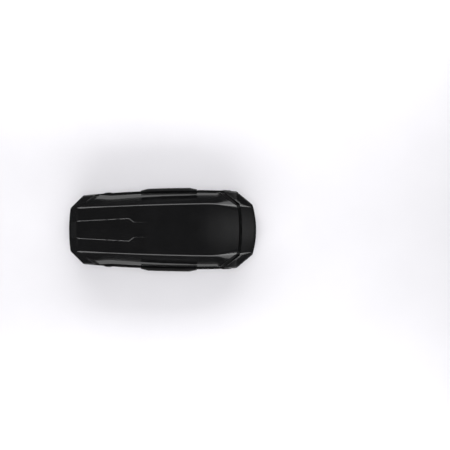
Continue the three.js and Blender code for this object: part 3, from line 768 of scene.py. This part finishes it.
# Side lights: height, size and power. Nose lights: degrees from overhead, and power.
SIDE_LIGHTS = {"low": (0.75, (9, 2.1), 128), "high": (2.7, (9, 1.8), 300)}
SIDE_LIGHT_X = 0.3
SIDE_LIGHT_Y = 4.2
NOSE_LIGHTS = ((17, 4), (26, 9), (36, 11), (46, 12))
NOSE_X = 0.8
NOSE_REACH = 13
NOSE_SIZE = (2.3, 6)
TAIL_LIGHT = {"at": (-6.5, 0, 2.6), "aim": (0, 0, 0), "size": (6, 3), "power": 9}
FILL_LIGHT = {"at": (0, 0, 17), "aim": (0, 0, 0), "size": (10, 10), "power": 860}
SKY_COLOUR = (0.96, 0.97, 1.0, 1)
SKY_STRENGTH = (0.035, 0.1)
SKY_HEIGHT = (-0.1, 0.1)


def make_light():
    """A sky that is darker below the horizon; lights along both sides, over the nose, behind and above."""
    world = bpy.data.worlds.new("studio")
    world.use_nodes = True
    nodes, links = world.node_tree.nodes, world.node_tree.links
    height = nodes.new("ShaderNodeSeparateXYZ")
    links.new(nodes.new("ShaderNodeTexCoord").outputs["Generated"], height.inputs["Vector"])
    strength = spread(nodes, links, height.outputs["Z"], *SKY_STRENGTH, *SKY_HEIGHT)
    links.new(strength, nodes["Background"].inputs["Strength"])
    nodes["Background"].inputs["Color"].default_value = SKY_COLOUR
    bpy.context.scene.world = world
    for side, s in SIDES.items():
        for level, (z, size, power) in SIDE_LIGHTS.items():
            at = (SIDE_LIGHT_X, s * SIDE_LIGHT_Y, z)
            area_light(f"{side}_{level}_light", at, (SIDE_LIGHT_X, 0, z), size, power)
    for degrees, power in NOSE_LIGHTS:
        angle = math.radians(degrees)
        at = (NOSE_X + NOSE_REACH * math.sin(angle), 0, NOSE_REACH * math.cos(angle))
        area_light("nose_light", at, (NOSE_X, 0, 0), NOSE_SIZE, power)
    area_light("tail_light", **TAIL_LIGHT)
    fill = area_light("fill_light", **FILL_LIGHT)
    fill.visible_glossy = False


def make_camera():
    data = bpy.data.cameras.new("camera")
    data.lens = CAMERA_LENS
    data.sensor_width = SENSOR
    data.clip_end = CLIP_END
    camera = bpy.data.objects.new("camera", data)
    bpy.context.scene.collection.objects.link(camera)
    camera.location = (*CAMERA_AIM, FRAME_Z + FRAME_WIDTH * CAMERA_LENS / SENSOR)
    bpy.context.scene.camera = camera


# ---------- CAD pieces that stay, with softened edges ----------
FLAT_WITHIN = 1
ROUND_OVER = 32


def soften(node, width, segments=2):
    """Rounds a CAD node's edges by width metres, without touching its mesh."""
    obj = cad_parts[node]
    flat = obj.modifiers.new("flat", "DECIMATE")
    flat.decimate_type = "DISSOLVE"
    flat.angle_limit = math.radians(FLAT_WITHIN)
    round_off = obj.modifiers.new("round", "BEVEL")
    round_off.width = width
    round_off.segments = segments
    round_off.limit_method = "ANGLE"
    round_off.angle_limit = math.radians(ROUND_OVER)
    round_off.harden_normals = False
    round_off.use_clamp_overlap = True
    level = obj.modifiers.new("level", "WEIGHTED_NORMAL")
    level.keep_sharp = True


SOFTENED = {
    "grip": ("grip_plastic", 2.2), "floor_rail": ("aluminium", 0.8), "arm": ("steel", 0.8),
    "base_bracket": ("steel", 0.5), "lid_bracket": ("steel", 0.5), "striker": ("steel", 0.5),
    "lock_bar": ("steel", 0.5), "lock_housing": ("nylon", 1.5), "key_cylinder": ("key_metal", 0.5),
    "lock_cam": ("steel", 0.5), "clamp_housing": ("nylon", 2.5), "clamp_knob": ("knob_plastic", 1.2),
    "jaw": ("nylon", 1.0), "bar_pad": ("rubber", 0.8), "spring": ("spring_steel", 0.3),
}


def dress_nodes():
    """Finds each CAD node's finish and rounding by the words in its name."""
    for node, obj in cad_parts.items():
        for words, (slot, width) in SOFTENED.items():
            if words in node:
                soften(node, width * MM)
                slots = obj.material_slots
                if not slots:
                    obj.data.materials.append(FINISHES[slot])
                for entry in slots:
                    entry.material = FINISHES[slot]
                break


# ---------- springs, screws and lock trim ----------
SCREW = [(4.2, -1.0), (4.2, 0.5), (4.0, 1.2), (3.3, 1.9), (2.4, 2.2), (1.9, 2.2), (1.8, 0.9), (0.3, 0.8)]
SCREW_SOCKET = (5, 6)
RIVET = [(4.5, -0.6), (4.5, 0.3), (4.1, 0.9), (3.0, 1.5), (1.6, 1.8), (0.3, 1.9)]
COIL_R = 6.5
WIRE_R = 1.2
COIL_TURNS = 5
STEPS_A_TURN = 24
COIL_HALF = 6.8
LEG = 15
SHORT_LEG = 6


def screw(pile, at, axis, size=1.0):
    pile.turned([(r * size, h * size) for r, h in SCREW], at, axis, socket=SCREW_SOCKET)


def swept(pile, path, radius, sides=10):
    """A round wire along a path."""
    path = [Vector(point) for point in path]
    angles = [2 * math.pi * i / sides for i in range(sides)]
    rings, side = [], Vector((1, 0, 0))
    for k, point in enumerate(path):
        ahead = (path[min(k + 1, len(path) - 1)] - path[max(k - 1, 0)]).normalized()
        side = (side - ahead * side.dot(ahead)).normalized()
        up = ahead.cross(side)
        rings.append([point + radius * (side * math.cos(a) + up * math.sin(a)) for a in angles])
    pile.add(rings)


def make_springs():
    """Torsion springs round the hinge pins, each with two short legs that rest over the rim."""
    for side, s in SIDES.items():
        for end, station in STATIONS.items():
            coil = Pile()
            steps = STEPS_A_TURN * COIL_TURNS
            path = [(station - COIL_HALF, s * (AXIS_Y - LEG), AXIS_Z - COIL_R)]
            for i in range(steps + 1):
                angle = 2 * math.pi * COIL_TURNS * i / steps
                x = station - COIL_HALF + 2 * COIL_HALF * i / steps
                path.append((x, s * (AXIS_Y + COIL_R * math.sin(angle)), AXIS_Z - COIL_R * math.cos(angle)))
            path.append((station + COIL_HALF, s * (AXIS_Y + SHORT_LEG), AXIS_Z - COIL_R))
            swept(coil, path, WIRE_R)
            spring = coil.piece(f"{side}_{end}_coil", "spring_steel", "base")
            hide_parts(f"{side}_{end}_spring")


STRIKERS = {"front": 640, "centre": -20, "rear": -480}
BRACKET_SCREWS = (37, 50)
STRIKER_SCREWS = (14, 26)
BASE_PLATE_IN = 34
BASE_PLATE_TOP = RIM_Z + 4
LID_PLATE_IN = 22
LID_PLATE_UNDER = LIP_Z - SHELL - 4.3
RAIL_Y = 235
RAIL_TOP = 19
RAIL_RIVETS = (-580, -380, -150, 80, 310, 540, 720)
HOUSING_SCREWS = (69, 31)
HOUSING_TOP = 52
LOCK_FACE_Y = 352
LOCK_SCREWS = (23.5, 11)
LOCK_SCREW_SIZE = 0.65


def make_screws():
    """Screws and rivets of each body, as one piece a body and finish."""
    base, lid, rivets = Pile(), Pile(), Pile()
    for s in SIDES.values():
        for station in STATIONS.values():
            rim = float(side_y(station))
            for along in BRACKET_SCREWS:
                at = (station - s * along, s * (rim - BASE_PLATE_IN), BASE_PLATE_TOP)
                screw(base, at, (0, 0, 1))
                at = (station + s * along, s * (rim - LID_PLATE_IN), LID_PLATE_UNDER)
                screw(lid, at, (0, 0, -1))
        for striker in STRIKERS.values():
            inner = float(side_y(striker)) - BASE_PLATE_IN
            for along in STRIKER_SCREWS:
                screw(base, (striker + along, s * inner, BASE_PLATE_TOP), (0, 0, 1))
        for x in RAIL_RIVETS:
            rivets.turned(RIVET, (x, s * RAIL_Y, RAIL_TOP), (0, 0, 1))
        for bar in BARS.values():
            for i in (-1, 1):
                for j in (-1, 1):
                    at = (bar + i * HOUSING_SCREWS[0], s * CLAMP_Y + j * HOUSING_SCREWS[1], HOUSING_TOP)
                    screw(base, at, (0, 0, 1))
        for i in (-1, 1):
            for j in (-1, 1):
                at = (LOCK_X + i * LOCK_SCREWS[0], s * LOCK_FACE_Y, LOCK_Z + j * LOCK_SCREWS[1])
                screw(lid, at, (0, -s, 0), LOCK_SCREW_SIZE)
    base.piece("base_screws", "steel", "base")
    lid.piece("lid_screws", "steel", "lid")
    rivets.piece("rail_rivets", "aluminium", "base")


KEY_RING = [(6.6, 0), (10.5, 0), (10.5, 0.7), (9.8, 1.3), (8.4, 1.3), (6.6, 0.8)]
GRIP_REACH = 25.5
RING_SUNK = 0.2


def make_key_rings():
    for side, s in SIDES.items():
        ring = Pile()
        out = float(side_y(LOCK_X)) + GRIP_REACH - RING_SUNK
        ring.turned(KEY_RING, (LOCK_X, s * out, LOCK_Z), (0, s, 0), sides=40, closed=True)
        ring.piece(f"{side}_key_ring", "key_metal", "lid")


# ---------- put together ----------
bpy.context.scene.view_settings.view_transform = "Standard"
make_camera()
make_stage()
make_light()
dress_nodes()

lid = make_lid()
dress(lid, "lid_gloss", "lid")
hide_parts("lid_shell")

tray = make_tray()
dress(tray, "base_shell", "base")
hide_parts("base_tray")

make_springs()
make_screws()
make_key_rings()
